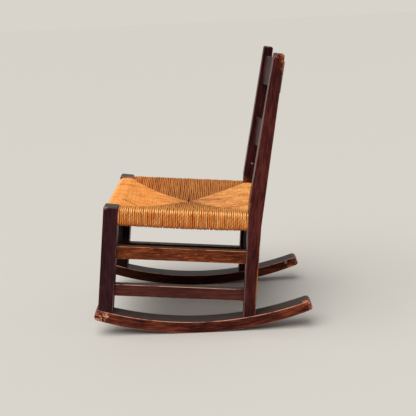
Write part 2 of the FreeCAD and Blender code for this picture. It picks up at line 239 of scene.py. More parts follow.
def grainPlace(bench, run):
    # coordinates with Z along the grain, and how far a face is from square to the stock
    here = bench.node("ShaderNodeTexCoord", out="Object")
    facing = bench.node("ShaderNodeTexCoord", out="Normal")
    nx, ny, nz = facing.split()
    if run == "runner":
        x, y, z = here.split()
        back = y - runnerCentre.y
        drop = runnerCentre.z - z
        reach = (back * back + drop * drop) ** 0.5
        angle = back.sum("ARCTAN2", back, drop)
        place = bench.node("ShaderNodeCombineXYZ", None, {0: x, 1: reach, 2: angle * runnerRadius})
        return here, place, 1 - larger(abs(nx), (1 - nx * nx) ** 0.5)
    turn = {"Vector": here, "Rotation": grainTurns[run]}
    place = bench.node("ShaderNodeMapping", None, turn)
    if run == "across":
        up = abs(ny * math.sin(postLean) + nz * math.cos(postLean))
        return here, place, 1 - larger(up, (1 - up * up) ** 0.5)
    turn = {"Vector": facing, "Rotation": grainTurns[run]}
    lx, ly, lz = bench.node("ShaderNodeMapping", {"vector_type": "VECTOR"}, turn).split()
    return here, place, 1 - larger(abs(lx), larger(abs(ly), abs(lz)))


# Patterns in the oak: stretch along the grain; scale, detail, roughness and swirl; and where some begin to show
oakFigure = {
    "streaks": (0.09, (190, 5, 0.65)),
    "lines": (0.06, (400, 4, 0.65)),
    "patches": (0.4, (16, 4, 0.6)),        # thick and thin stain
    "fleck": (0.17, (230, 3, 0.6, 0.5), (0.52, 0.7)),
    "pores": (0.03, (900, 2, 0.6), (0.5, 0.75)),
    "scuff": (0.35, (45, 4, 0.65)),
    "chips": (1.0, (140, 4, 0.6)),
    "bites": (1.0, (170, 3, 0.65, 0.6)),
    "ragged": (0.55, (280, 4, 0.7), (0.38, 0.64)),
    "offSquare": (0.02, 0.16),             # tilt at which an arris is rubbed
    "nearEdge": (0.005, 0.16),             # tilt of the softened edge that takes chips
    "bandFade": 0.05,                      # how softly a worn band begins and ends
    "bandShows": (0.35, 0.56),
    "relief": (0.3, 0.0005),               # strength and depth
}


def stainedOak(look):
    material, bench = newMaterial(look["name"])
    here, place, offSquare = grainPlace(bench, look["run"])
    x, y, z = here.split()
    nx, ny, nz = bench.node("ShaderNodeTexCoord", out="Normal").split()

    def figure(name):
        stretch, pattern, *shown = oakFigure[name]
        value = noise(stretched(place, stretch), *pattern)
        return ease(value, *shown[0]) if shown else value

    # figure: broad streaks, fine lines, ray fleck and patches of thicker stain
    lines, patches = figure("lines"), figure("patches")
    fleck = figure("fleck") * (0.45 + 0.7 * ease(patches, 0.36, 0.6)) * look["fleck"]
    depth = figure("streaks") * 0.45 + lines * 0.5 + patches * 0.45 - 0.2
    reach = look["contrast"]
    colour = ramp(depth, [(0.5 - reach, look["dark"]), (0.5, look["middle"]), (0.5 + reach, look["light"])])
    colour = tint(fleck, colour, look["flake"])
    if "foot" in look:
        low, high, share = look["foot"]
        colour = tint((1 - ease(z, low, high)) * share, colour, look["dark"])

    # painted shade: faces that look to the middle of the chair are darkened, as where the seat shades them
    spot, facing = {"x": (x, nx), "y": (y, ny)}[look["inward"]]
    inner = ease(facing * (1 - 2 * ease(spot, -0.01, 0.01)), 0.4, 0.9)
    # less painted shade towards the rear end of a runner, where it reaches out of the seat's shade
    if "shadeFadeAtEnd" in look:
        low, high, share = look["shadeFadeAtEnd"]
        inner = inner * (1 - share * ease(y, low, high))
    colour = tint(inner * look["inner"], colour, look["paintedShade"])
    # top faces greyer: dust, and a painted sheen
    topSide = ease(nz, 0.6, 0.95)
    colour = tint(topSide * (0.55 + 0.6 * patches), colour, look["dustAndSheen"])

    # wear: rubbed arrises, in a greyer colour where they face the front that is partly a painted sheen, then
    # chips beside them
    scuff = figure("scuff")
    rubbed = ease(offSquare, *oakFigure["offSquare"]) * ease(scuff, look["rubFrom"], look["rubFrom"] + 0.2)
    rubbed = rubbed * (1 - look["keptTops"] * ease(nz, 0.35, 0.6))
    soft = bench.node("ShaderNodeBevel", {"samples": 8}, {"Radius": look["wornBand"]})
    nearEdge = 1 - dot(soft, bench.node("ShaderNodeNewGeometry", out="Normal"))
    nearEdge = ease(nearEdge, *oakFigure["nearEdge"])
    chips = nearEdge * ease(figure("chips"), look["chipFrom"], look["chipFrom"] + 0.1)
    # arrises that face the front take a greyer colour: wear, and a painted sheen
    arris = tint(ease(0 - ny, 0.2, 0.6), look["rubbed"], look["rubbedFrontAndSheen"])
    colour = tint(rubbed * look["rubbing"], colour, arris)
    colour = tint(chips * look["chipping"], colour, look["bare"])

    # marks of single pieces: bitten ends, bands along a post (worn bare wood, or a painted grey sheen), and spots
    # at given places
    if "chewed" in look:
        front, rear, bites = look["chewed"]
        ends = larger(ease(0.03 * scuff - y, *front), 0.75 * ease(0.03 * scuff + y, *rear))
        bitten = ends * (0.25 + 0.6 * ease(abs(nx), 0.3, 0.8))
        colour = tint(bitten * (1 - inner), colour, ramp(figure("bites"), bites))
    if "wearAndSheenBands" in look:
        leaning, fade = soft.split()[1], oakFigure["bandFade"]
        for way, low, high, strength, mark in look["wearAndSheenBands"]:
            band = ease(leaning * way, 0.04, 0.3) * ease(nx * nx, 0.8, 0.98)
            band = band * ease(z, low, low + fade) * (1 - ease(z, high - fade, high))
            colour = tint(band * ease(scuff, *oakFigure["bandShows"]) * strength, colour, mark)
    if "spots" in look:
        ragged = figure("ragged")
        for point, radius, strength, mark in look["spots"]:
            touch = ease(1.3 * ragged - distance(here, point) / radius, -0.15, 0.2)
            colour = tint(touch * strength, colour, mark)

    rough = look["rough"] + 0.14 * (patches - 0.5) + 0.12 * chips - 0.1 * fleck + 0.5 * inner
    height = lines * 0.4 - figure("pores") * 0.5 - chips * 0.6
    polish = topSide
    if look["polished"] == "front":
        polish = larger(topSide, ease(0 - ny, 0.5, 0.9))
    finish = {"Base Color": colour, "Roughness": rough, "Normal": bump(height, *oakFigure["relief"])}
    finish.update({"Coat Weight": polish * look["sheen"], "Coat Roughness": 0.3, "Specular IOR Level": 0.08})
    closeMaterial(bench, finish)
    return material


# Each look: colours from dark to light, the painted shade of faces that look inward, then how much it is worn and
# where
frontPostOak = {
    "name": "front posts", "run": "post", "inward": "x", "inner": 0.7, "paintedShade": rgb(22, 9, 11),
    "dark": rgb(36, 13, 17), "middle": rgb(53, 22, 26), "light": rgb(74, 36, 40), "flake": rgb(80, 40, 40),
    "rubbed": rgb(184, 132, 116), "rubbedFrontAndSheen": rgb(120, 84, 84), "bare": rgb(176, 116, 96),
    "contrast": 0.12, "keptTops": 0.2,
    "fleck": 0.25, "rubFrom": 0.4, "rubbing": 0.85, "wornBand": 0.004, "chipFrom": 0.62, "chipping": 0.7,
    "rough": 0.42, "dustAndSheen": rgb(64, 56, 54), "polished": "front", "sheen": 0.7,
    "spots": [((0.214, -0.2599, 0.394), 0.006, 0.8, rgb(196, 132, 118))],
}
rearPostOak = {
    "name": "rear posts", "run": "post", "inward": "x", "inner": 0.55, "paintedShade": rgb(30, 10, 12),
    "dark": rgb(40, 10, 12), "middle": rgb(65, 23, 22), "light": rgb(98, 43, 37), "flake": rgb(102, 46, 36),
    "rubbed": rgb(222, 138, 72), "rubbedFrontAndSheen": rgb(132, 98, 98), "bare": rgb(196, 118, 72),
    "contrast": 0.11, "keptTops": 0.8,
    "fleck": 0.3, "rubFrom": 0.38, "rubbing": 0.9, "wornBand": 0.005, "chipFrom": 0.58, "chipping": 0.75,
    "rough": 0.42, "dustAndSheen": rgb(60, 50, 48), "polished": "front", "sheen": 0.25, "foot": (0.18, 0.34, 0.3),
    # by the front arris a purple-grey band that is a painted sheen; by the rear arris an orange band of worn bare
    # wood
    "wearAndSheenBands": [(-1, -0.1, 0.4, 0.9, rgb(112, 86, 92)), (1, 0.06, 0.3, 0.95, rgb(206, 128, 68))],
    "spots": [
        ((0.214, 0.257, 0.788), 0.014, 0.95, rgb(200, 108, 44)),
        ((0.214, 0.2555, 0.774), 0.013, 0.95, rgb(190, 100, 42)),
        ((0.214, 0.252, 0.758), 0.011, 0.85, rgb(176, 92, 44)),
        ((0.214, 0.229, 0.7895), 0.006, 0.6, rgb(190, 116, 104)),
        ((0.214, 0.2365, 0.786), 0.005, 0.45, rgb(180, 96, 80)),
        ((0.212, 0.1455, 0.384), 0.007, 0.8, rgb(206, 128, 74)),
        ((-0.172, 0.1751, 0.4201), 0.004, 0.9, rgb(186, 148, 142)),
        ((-0.172, 0.15, 0.362), 0.014, 0.7, rgb(150, 78, 30)),
    ],
}
runnerOak = {
    "name": "runners", "run": "runner", "inward": "x", "inner": 0.85, "paintedShade": rgb(24, 7, 6),
    "dark": rgb(50, 17, 13), "middle": rgb(88, 36, 25), "light": rgb(136, 65, 43), "flake": rgb(142, 71, 46),
    "rubbed": rgb(230, 162, 134), "rubbedFrontAndSheen": rgb(210, 140, 116), "bare": rgb(216, 138, 106),
    "contrast": 0.085, "keptTops": 0.0,
    "fleck": 0.35, "rubFrom": 0.32, "rubbing": 0.88, "wornBand": 0.006, "chipFrom": 0.56, "chipping": 0.85,
    "rough": 0.4, "dustAndSheen": rgb(48, 41, 33), "polished": "up", "sheen": 0.7, "shadeFadeAtEnd": (0.12, 0.25, 0.6),
    "chewed": (
        (0.298, 0.312), (0.312, 0.328),      # where the bites begin, forwards and back
        [(0.38, rgb(26, 9, 9)), (0.48, rgb(112, 46, 38)), (0.54, rgb(160, 84, 68)), (0.63, rgb(240, 172, 142))],
    ),
    "spots": [
        ((0.217, -0.285, 0.0675), 0.008, 0.95, rgb(246, 182, 132)),
        ((0.211, 0.3, 0.086), 0.011, 0.9, rgb(226, 134, 86)),
        ((0.217, 0.316, 0.068), 0.006, 0.7, rgb(206, 112, 76)),
        ((0.217, 0.297, 0.063), 0.016, 0.8, rgb(40, 14, 12)),
        ((-0.167, 0.294, 0.0535), 0.01, 0.9, rgb(206, 112, 48)),
        ((-0.167, 0.304, 0.0545), 0.009, 0.9, rgb(196, 104, 44)),
        ((-0.167, 0.2805, 0.0695), 0.006, 0.7, rgb(200, 160, 150)),
    ],
}
upperOak = {
    "name": "upper stretchers", "run": "side", "inward": "x", "inner": 0.75, "paintedShade": rgb(20, 9, 8),
    "dark": rgb(60, 24, 11), "middle": rgb(101, 46, 25), "light": rgb(150, 74, 40), "flake": rgb(204, 104, 46),
    "rubbed": rgb(222, 168, 126), "rubbedFrontAndSheen": rgb(222, 168, 126), "bare": rgb(214, 138, 78),
    "contrast": 0.13, "keptTops": 0.0,
    "fleck": 0.75, "rubFrom": 0.34, "rubbing": 0.95, "wornBand": 0.004, "chipFrom": 0.6, "chipping": 0.6,
    "rough": 0.42, "dustAndSheen": rgb(96, 66, 46), "polished": "up", "sheen": 0.7,
}
lowerOak = {
    "name": "lower stretchers", "run": "side", "inward": "x", "inner": 0.75, "paintedShade": rgb(20, 9, 8),
    "dark": rgb(56, 23, 19), "middle": rgb(77, 36, 31), "light": rgb(98, 50, 43), "flake": rgb(102, 54, 45),
    "rubbed": rgb(232, 196, 170), "rubbedFrontAndSheen": rgb(232, 196, 170), "bare": rgb(204, 136, 96),
    "contrast": 0.13, "keptTops": 0.0,
    "fleck": 0.3, "rubFrom": 0.34, "rubbing": 0.95, "wornBand": 0.004, "chipFrom": 0.6, "chipping": 0.6,
    "rough": 0.44, "dustAndSheen": rgb(84, 66, 56), "polished": "up", "sheen": 0.7,
}
boardOak = {
    "name": "cross stretchers", "run": "across", "inward": "y", "inner": 0.7, "paintedShade": rgb(22, 11, 11),
    "dark": rgb(38, 15, 17), "middle": rgb(58, 25, 25), "light": rgb(84, 39, 34), "flake": rgb(92, 46, 38),
    "rubbed": rgb(180, 112, 80), "rubbedFrontAndSheen": rgb(180, 112, 80), "bare": rgb(190, 120, 72),
    "contrast": 0.13, "keptTops": 0.0,
    "fleck": 0.4, "rubFrom": 0.44, "rubbing": 0.8, "wornBand": 0.004, "chipFrom": 0.62, "chipping": 0.7,
    "rough": 0.4, "dustAndSheen": rgb(48, 38, 34), "polished": "up", "sheen": 0.8,
}
slatOak = {
    "name": "back slats", "run": "across", "inward": "y", "inner": 0.0, "paintedShade": rgb(30, 14, 15),
    "dark": rgb(34, 15, 17), "middle": rgb(52, 24, 25), "light": rgb(76, 38, 34), "flake": rgb(84, 44, 38),
    "rubbed": rgb(196, 132, 96), "rubbedFrontAndSheen": rgb(170, 124, 104), "bare": rgb(222, 164, 120),
    "contrast": 0.13, "keptTops": 0.0,
    "fleck": 0.4, "rubFrom": 0.42, "rubbing": 0.8, "wornBand": 0.004, "chipFrom": 0.62, "chipping": 0.8,
    "rough": 0.4, "dustAndSheen": rgb(52, 42, 38), "polished": "front", "sheen": 1.0,
    "spots": [((-0.155, 0.213, 0.5855), 0.012, 0.9, rgb(214, 176, 150))],
}


def paint(look, *nodes):
    material = stainedOak(look)
    for node in nodes:
        dress(frame["nodes"][node].data, material)


paint(frontPostOak, "left_front_post", "right_front_post", "foot_dowels")
paint(rearPostOak, "left_rear_post", "right_rear_post")
paint(upperOak, "left_upper_stretcher", "right_upper_stretcher", "left_seat_rail", "right_seat_rail")
paint(lowerOak, "left_lower_stretcher", "right_lower_stretcher")
paint(boardOak, "front_stretcher", "rear_stretcher", "front_seat_rail", "rear_seat_rail")
print("straight oak stained")


# Bent pieces get a merged copy, so that their curves shade as curves
bentPieces = {
    "crease": math.radians(40),
    "slots": {
        "runner_oak": (runnerOak, ["left_runner", "right_runner"]),
        "slat_oak": (slatOak, ["upper_back_slat", "lower_back_slat"]),
    },
}


def bentPiece(node, slot, material):
    mesh = mergedCopy(node)
    mesh.shade_smooth()
    mesh.set_sharp_from_angle(angle=bentPieces["crease"])
    dress(mesh, material)
    draft = newObject(node + " draft", mesh)
    weigh = draft.modifiers.new("even faces", "WEIGHTED_NORMAL")
    weigh.keep_sharp = True
    addPiece(node + "_smooth", settled(draft), slot, node)


for slot, (look, nodes) in bentPieces["slots"].items():
    wood = stainedOak(look)
    for node in nodes:
        bentPiece(node, slot, wood)
print("runners and slats smoothed")


# Rush: cords laid over each rail, out from the diagonals and back to them below
rushSeat = {
    "cord": 0.0061,            # spacing of the cords
    "girth": 1.02,             # thickness as a share of the spacing
    "railCorner": 0.008,
    "sides": 12,
    "lay": 0.026,              # length of one twist
    "swell": 1.06,             # the strands' girth as a share of the cord's
    "groove": 0.2,             # depth between the two strands, as a share of the radius
    "thickAndThin": 0.06,      # share of the cord's thickness
    "waver": 0.0004,
    "ripples": ((52, 131), (61, 149)),      # of the waver, sideways and up, in radians per metre
    "uneven": 0.0003,          # how far some cords stand out
    "spread": 0.1,             # share of the spacing
    "slack": 0.0012,           # cords hang below the side rails, and more so midway
    "sag": 0.0026,
    "bowl": (2.6, 1.3),        # fullness of the dish, at the front and at the rear
    "seamGap": 0.8,            # between a diagonal and the cords' ends, in half cords
    "dive": [(0.0, 3.0), (0.0, 1.5), (0.25, 0.6), (0.85, 0.1)],     # out and down at the seam, in half cords
    "runFrom": 1.7,            # where the flat run begins, in half cords
    "step": 0.007,             # between points on a run
    "ringStep": 0.0026,        # between rings of the swept cord
    # seeds of the paths, then of the swept cords
    "seeds": {"front": (148, 16), "rear": (153, 15), "left": (147, 15), "right": (160, 16)},
    # how far the middle cords stand apart at the centre, and how soon they close
    "parted": {"right": (0.0075, 0.022), "left": (0.003, 0.02), "front": (0.002, 0.02), "rear": (0.002, 0.02)},
    "partedWidth": 0.008,
}


def seatPlaces(node):
    return [(v.co.x, v.co.dot(seatBack), v.co.dot(seatUp)) for v in frame["nodes"][node].data.vertices]


leftPlaces = seatPlaces("left_rush_panel")
frontPlaces = seatPlaces("front_rush_panel")
rearPlaces = seatPlaces("rear_rush_panel")
seatOuter = max(x for x, y, z in leftPlaces)
seatInner = max(x for x, y, z in frontPlaces)
overRail = [y for x, y, z in leftPlaces if x > seatOuter - rushSeat["railCorner"]]
frontEnd, rearEnd = min(overRail), max(overRail)
apexX = min(x for x, y, z in leftPlaces)
apex = [(y, z) for x, y, z in leftPlaces if x < apexX + 0.0005]
centreBack = sum(y for y, z in apex) / len(apex)
rushTop = max(z for x, y, z in leftPlaces)
rushBottom = min(z for x, y, z in leftPlaces)
topDip = rushTop - max(z for y, z in apex)
bottomRise = min(z for y, z in apex) - rushBottom
panels = {
    "front": {"low": -seatInner, "high": seatInner, "middle": 0.0, "rim": centreBack - frontEnd,
              "outer": centreBack - min(y for x, y, z in frontPlaces)},
    "rear": {"low": -seatInner, "high": seatInner, "middle": 0.0, "rim": rearEnd - centreBack,
             "outer": max(y for x, y, z in rearPlaces) - centreBack},
    "left": {"low": frontEnd, "high": rearEnd, "middle": centreBack, "rim": seatInner, "outer": seatOuter},
    "right": {"low": frontEnd, "high": rearEnd, "middle": centreBack, "rim": seatInner, "outer": seatOuter},
}
print("rush between posts:", round(rearEnd - frontEnd, 4), "by", round(2 * seatInner, 4), "m")


def inSeat(side, spot, out, height):
    # a place on a panel, by its spot along the rail and how far out it is from the weave's centre
    across = {"front": spot, "rear": spot, "left": out, "right": -out}[side]
    back = {"front": centreBack - out, "rear": centreBack + out}.get(side, spot)
    return Vector((across, 0, 0)) + seatBack * back + seatUp * height


def fullness(side, spot):
    panel = panels[side]
    rearward = (spot - panel["low"]) / (panel["high"] - panel["low"])
    rearward = {"front": 0.0, "rear": 1.0}.get(side, min(1.0, max(0.0, rearward)))
    rearward = rearward * rearward * (3 - 2 * rearward)
    front, rear = rushSeat["bowl"]
    return front + (rear - front) * rearward


def cordPath(side, spot, dice):
    panel = panels[side]
    half = rushSeat["cord"] / 2
    proud = dice.uniform(-1, 1) * rushSeat["uneven"]
    top, rim, outer = rushTop + proud, panel["rim"], panel["outer"] + proud
    share = (spot - panel["low"]) / (panel["high"] - panel["low"])
    hang = rushSeat["slack"] + rushSeat["sag"] * math.sin(math.pi * share) if side in ("left", "right") else 0.0
    bottom = rushBottom - hang - proud
    bowl = fullness(side, spot)
    corner = panel["high"] if spot > panel["middle"] else panel["low"]
    seam = rim * (spot - panel["middle"]) / (corner - panel["middle"]) + rushSeat["seamGap"] * half
    bend = rushSeat["railCorner"] + rushSeat["cord"]
    turn = bend - half

    def above(out):
        return top - half - topDip * max(0, 1 - (out / rim) ** bowl)

    def below(out):
        return bottom + half + (bottomRise + hang) * max(0, 1 - out / rim)

    edge = outer - bend
    steps = max(2, round((edge - seam) / rushSeat["step"]))
    lead = rushSeat["runFrom"] * half
    run = [seam + lead + (edge - seam - lead) * i / steps for i in range(steps)]
    quarter = [math.pi / 2 * i / 5 for i in range(6)]
    path = [(seam + out * half, above(seam) - down * half) for out, down in rushSeat["dive"]]
    path += [(d, above(d)) for d in run]
    path += [(edge + turn * math.sin(a), top - bend + turn * math.cos(a)) for a in quarter]
    path += [(outer - half, top - bend - (top - bottom - 2 * bend) * i / 4) for i in (1, 2, 3)]
    path += [(edge + turn * math.cos(a), bottom + bend - turn * math.sin(a)) for a in quarter]
    path += [(d, below(d)) for d in reversed(run)]
    path += [(seam + out * half, below(seam) + down * half) for out, down in reversed(rushSeat["dive"])]

    # a little waver, and cords that stand apart at the middle of the panel
    phases = [dice.uniform(0, 2 * math.pi) for i in range(4)]
    waver = rushSeat["waver"]
    (slowSway, fastSway), (slowLift, fastLift) = rushSeat["ripples"]
    opening, reach = rushSeat["parted"][side]
    away = spot - panel["middle"]
    length = 0.0
    points = []
    for i, (out, height) in enumerate(path):
        if i:
            length += math.dist(path[i - 1], path[i])
        sway = math.sin(length * slowSway + phases[0]) + 0.6 * math.sin(length * fastSway + phases[1])
        lift = math.sin(length * slowLift + phases[2]) + 0.6 * math.sin(length * fastLift + phases[3])
        fade = math.exp(-abs(away) / rushSeat["partedWidth"] - (out - seam) / reach)
        aside = math.copysign(opening / 2, away) * fade
        rise = waver * lift
        points.append(inSeat(side, spot + aside + waver * sway, out + 0.3 * rise, height + 0.7 * rise))
    return points


def cordTree():
    tree = bpy.data.node_groups.new("rush cords", "GeometryNodeTree")
    tree.interface.new_socket("Geometry", in_out="INPUT", socket_type="NodeSocketGeometry")
    sizes = {"Cord Radius": "Float", "Sides": "Int", "Ring Step": "Float", "Lay": "Float", "Swell": "Float"}
    sizes.update({"Groove": "Float", "Thick And Thin": "Float", "Seed": "Int", "Material": "Material"})
    keys = {}
    for name, kind in sizes.items():
        keys[name] = tree.interface.new_socket(name, in_out="INPUT", socket_type="NodeSocket" + kind).identifier
    tree.interface.new_socket("Geometry", in_out="OUTPUT", socket_type="NodeSocketGeometry")
    bench = Shade(tree)

    def given(name):
        return bench.node("NodeGroupInput", out=name)

    def stored(geometry, name, value):
        sockets = {"Geometry": geometry, "Name": name, "Value": value}
        return bench.node("GeometryNodeStoreNamedAttribute", {"data_type": "FLOAT", "domain": "POINT"}, sockets)

    def perCord(low, high, extra):
        sockets = {2: low, 3: high, 8: given("Seed") + extra}
        value = bench.node("FunctionNodeRandomValue", {"data_type": "FLOAT"}, sockets, 1)
        return bench.node("GeometryNodeFieldOnDomain", {"data_type": "FLOAT", "domain": "CURVE"}, {0: value})

    even = {"Curve": given("Geometry"), "Length": given("Ring Step")}
    cords = bench.node("GeometryNodeResampleCurve", {"mode": "LENGTH"}, even)
    cords = stored(cords, "tone", perCord(0.0, 1.0, 1))
    length = bench.node("GeometryNodeSplineParameter", out="Length")
    cords = stored(cords, "along", length)
    twist = {"Curve": cords, "Tilt": length * (2 * math.pi) / given("Lay") + perCord(0.0, 2 * math.pi, 3)}
    cords = bench.node("GeometryNodeSetCurveTilt", None, twist)
    ring = {"Resolution": given("Sides"), "Radius": given("Cord Radius")}
    ring = bench.node("GeometryNodeCurvePrimitiveCircle", {"mode": "RADIUS"}, ring)
    angle = bench.node("GeometryNodeSplineParameter", out="Factor") * (2 * math.pi)
    ring = stored(ring, "ringSine", angle.sum("SINE", angle))
    ring = stored(ring, "ringCosine", angle.sum("COSINE", angle))
    strand = 1 - abs(angle.sum("COSINE", angle))
    girth = given("Swell") - given("Groove") * strand * strand
    shaped = {0: bench.node("GeometryNodeInputPosition"), "Scale": girth}
    shaped = bench.node("ShaderNodeVectorMath", {"operation": "SCALE"}, shaped)
    ring = bench.node("GeometryNodeSetPosition", None, {"Geometry": ring, "Position": shaped})
    thickness = perCord(1 - given("Thick And Thin"), 1 + given("Thick And Thin"), 2)
    tubes = {"Curve": cords, "Profile Curve": ring, "Scale": thickness, "Fill Caps": True}
    tubes = bench.node("GeometryNodeCurveToMesh", None, tubes)
    tubes = bench.node("GeometryNodeSetShadeSmooth", None, {"Geometry": tubes})
    tubes = bench.node("GeometryNodeRealizeInstances", None, {"Geometry": tubes})
    tubes = bench.node("GeometryNodeSetMaterial", None, {"Geometry": tubes, "Material": given("Material")})
    bench.node("NodeGroupOutput", None, {"Geometry": tubes})
    return tree, keys


rushLook = {
    "bright": (rgb(176, 80, 20), rgb(231, 130, 45), rgb(254, 170, 78)),
    "yellow": (rgb(172, 96, 32), rgb(226, 144, 62), rgb(250, 184, 96)),
    "hues": {"front": "bright", "rear": "yellow", "left": "bright", "right": "bright"},
    # painted light and shade: each panel lighter or darker, for how light falls on cords that run different ways
    "lift": {"front": 0.2, "rear": 0.0, "left": 0.17, "right": -0.05},      # lighter or darker along the hue
    # painted shade on the upper side of the side panels: its colour, then its share for each panel
    "sideShadeColour": rgb(164, 120, 68),
    "sideShade": {"left": 0.45, "right": 0.55},       # share, on the upper side of the side panels
    # painted shade: the colour of the dark lines in grooves, between and under the cords, at seams and along the
    # fold; next, its share on the cords' flanks for each panel
    "crease": rgb(90, 33, 4),
    "gapShade": {"front": 0.6, "rear": 0.6, "left": 0.7, "right": 0.85},        # share of crease between the cords
    # painted highlight along the upper corner of the rails
    "polished": rgb(255, 206, 128),                # on the upper corner of the rails
    # rusty hue down the outer sides, darkened towards the bottom as painted shade
    "rustAndShade": rgb(210, 94, 28),                      # down the outer sides
    "glint": rgb(255, 204, 146),
    "fibres": (900, 3, 0.6),                       # scale, detail, roughness and swirl
    "leaves": (900, 2, 0.5),
    "mottle": (30, 5, 0.65),
    "crackle": (150, 3, 0.65, 0.5),
    "ring": 0.003,                                 # size of the fibres' pattern round a cord
    "drawn": {"fibres": 0.12, "leaves": 0.02},     # stretch along the cord
    "apart": 3,                                    # from one cord's pattern to the next
    # a fold in the rush, shown only as a painted shadow line between these ends
    "fold": ((0.099, -0.002), (0.123, 0.052)),     # ends of a crease: across, and back from the front corner
    "rough": 0.4,
    "relief": (0.55, 0.0007),
}


def foldShadow(here, mottle):
    # painted shadow of a fold: a ragged dark line between its two ends
    (x0, y0), (x1, y1) = rushLook["fold"]
    run = Vector((x1 - x0, y1 - y0))
    right = dot(here, (1, 0, 0)) - x0
    back = dot(here, tuple(seatBack)) - (frontEnd + y0)
    share = (right * run.x + back * run.y) / run.length_squared
    off = abs(right * -run.y + back * run.x) / run.length + 0.002 * (mottle - 0.5)
    return (1 - ease(off, 0.001, 0.0045)) * ease(share, 0.0, 0.15) * (1 - ease(share, 0.85, 1.0))


def rushFinish(side):
    material, bench = newMaterial("rush " + side)
    here = bench.node("ShaderNodeTexCoord", out="Object")
    facing = bench.node("ShaderNodeTexCoord", out="Normal")
    outward = {"front": tuple(-seatBack), "rear": tuple(seatBack), "left": (1, 0, 0), "right": (-1, 0, 0)}[side]
    across = (1, 0, 0) if side in ("front", "rear") else tuple(seatBack)
    outFacing, upFacing = dot(facing, outward), dot(facing, tuple(seatUp))

    def attribute(name):
        return bench.node("ShaderNodeAttribute", {"attribute_name": name}, None, "Fac")

    # tone: fibres round each cord, leaves along it, and mottling over all
    along, tone = attribute("along"), attribute("tone")
    sine, cosine = attribute("ringSine"), attribute("ringCosine")
    ply = abs(cosine)
    ring, drawn, apart = rushLook["ring"], rushLook["drawn"], rushLook["apart"]
    fibres = {0: sine * ring, 1: cosine * ring, 2: along * drawn["fibres"] + tone * apart}
    fibres = noise(bench.node("ShaderNodeCombineXYZ", None, fibres), *rushLook["fibres"])
    leaves = {0: tone * apart, 1: along * drawn["leaves"]}
    leaves = noise(bench.node("ShaderNodeCombineXYZ", None, leaves), *rushLook["leaves"])
    mottle = noise(here, *rushLook["mottle"])
    crackle = noise(here, *rushLook["crackle"])
    depth = 0.16 * tone + 0.45 * fibres + 0.8 * mottle + 0.4 * crackle + leaves
    # the lift is painted light or shade for each panel
    depth = depth - 0.905 + rushLook["lift"][side]      # with no lift the mean is the middle of the hue
    colour = ramp(depth, list(zip((0.2, 0.5, 0.8), rushLook[rushLook["hues"][side]])))

    # painted light and shade: painted shade above on the side panels, a painted highlight at the rail's corner, a
    # rusty hue down the outer side with painted glints and painted shade towards its bottom, and painted shade on
    # faces that look down
    # painted shade on the upper side of the side panels, more of it towards the rear
    if side in rushLook["sideShade"]:
        upper = ease(upFacing, 0.4, 0.85) * ease(along, 0.0, 0.01)
        rearward = ease(dot(here, tuple(seatBack)), frontEnd, frontEnd + 0.16)
        colour = tint(upper * (0.4 + 0.6 * rearward) * rushLook["sideShade"][side], colour, rushLook["sideShadeColour"])
    # painted highlight along the rail's upper corner
    edge = ease(0.56 * outFacing + 0.83 * upFacing, 0.84, 0.98) * ease(along, 0.03, 0.05)
    colour = tint(edge * 0.95, colour, rushLook["polished"])
    # rusty hue down the outer side, with painted shade towards its bottom
    upright = ease(outFacing, 0.5, 0.9)
    lower = 1 - ease(dot(here, tuple(seatUp)), rushBottom, rushBottom + 0.024)
    colour = tint(upright * (0.25 + 0.5 * lower), colour, rushLook["rustAndShade"])
    glints = ease(0.5 * fibres + 0.7 * leaves, 0.56, 0.74) * (1 - 0.7 * lower)
    colour = tint(upright * ease(ply, 0.2, 0.8) * glints * 0.9, colour, rushLook["glint"])
    # painted shade on faces that look down
    colour = tint(ease(0 - upFacing, 0.15, 0.75) * 0.55, colour, rushLook["crease"])

    # painted shade as dark lines: in the grooves of the twist, on the flanks where the cords part between them
    # (wider to the centre), at the seams and along the fold, and less under the painted highlight
    groove = 1 - ease(ply, 0.0, 0.45)
    centre = tuple(seatBack * centreBack + seatUp * (rushTop - topDip))
    closing = 1 - ease(distance(here, centre), 0.03, 0.17)
    flankShade = ease(abs(dot(facing, across)), 0.6 - 0.3 * closing, 0.98 - 0.2 * closing)
    flankShade = flankShade * ease(0.6 * fibres + 0.4 * crackle, 0.25, 0.55) * larger(closing, rushLook["gapShade"][side])
    seam = 1 - ease(along, 0.006, 0.016)
    dark = larger(groove * (0.5 - 0.25 * upright), larger(flankShade, seam * 0.3)) * (1 - 0.85 * edge)
    colour = tint(dark, colour, rushLook["crease"])
    # painted shadow along the fold
    if side == "front":
        colour = tint(foldShadow(here, mottle) * 0.8, colour, rushLook["crease"])

    rough = rushLook["rough"] + 0.2 * (fibres - 0.5)
    relief = bump(ease(ply, 0.0, 0.6) + 0.35 * fibres, *rushLook["relief"])
    closeMaterial(bench, {"Base Color": colour, "Roughness": rough, "Normal": relief, "Specular IOR Level": 0.35})
    return material


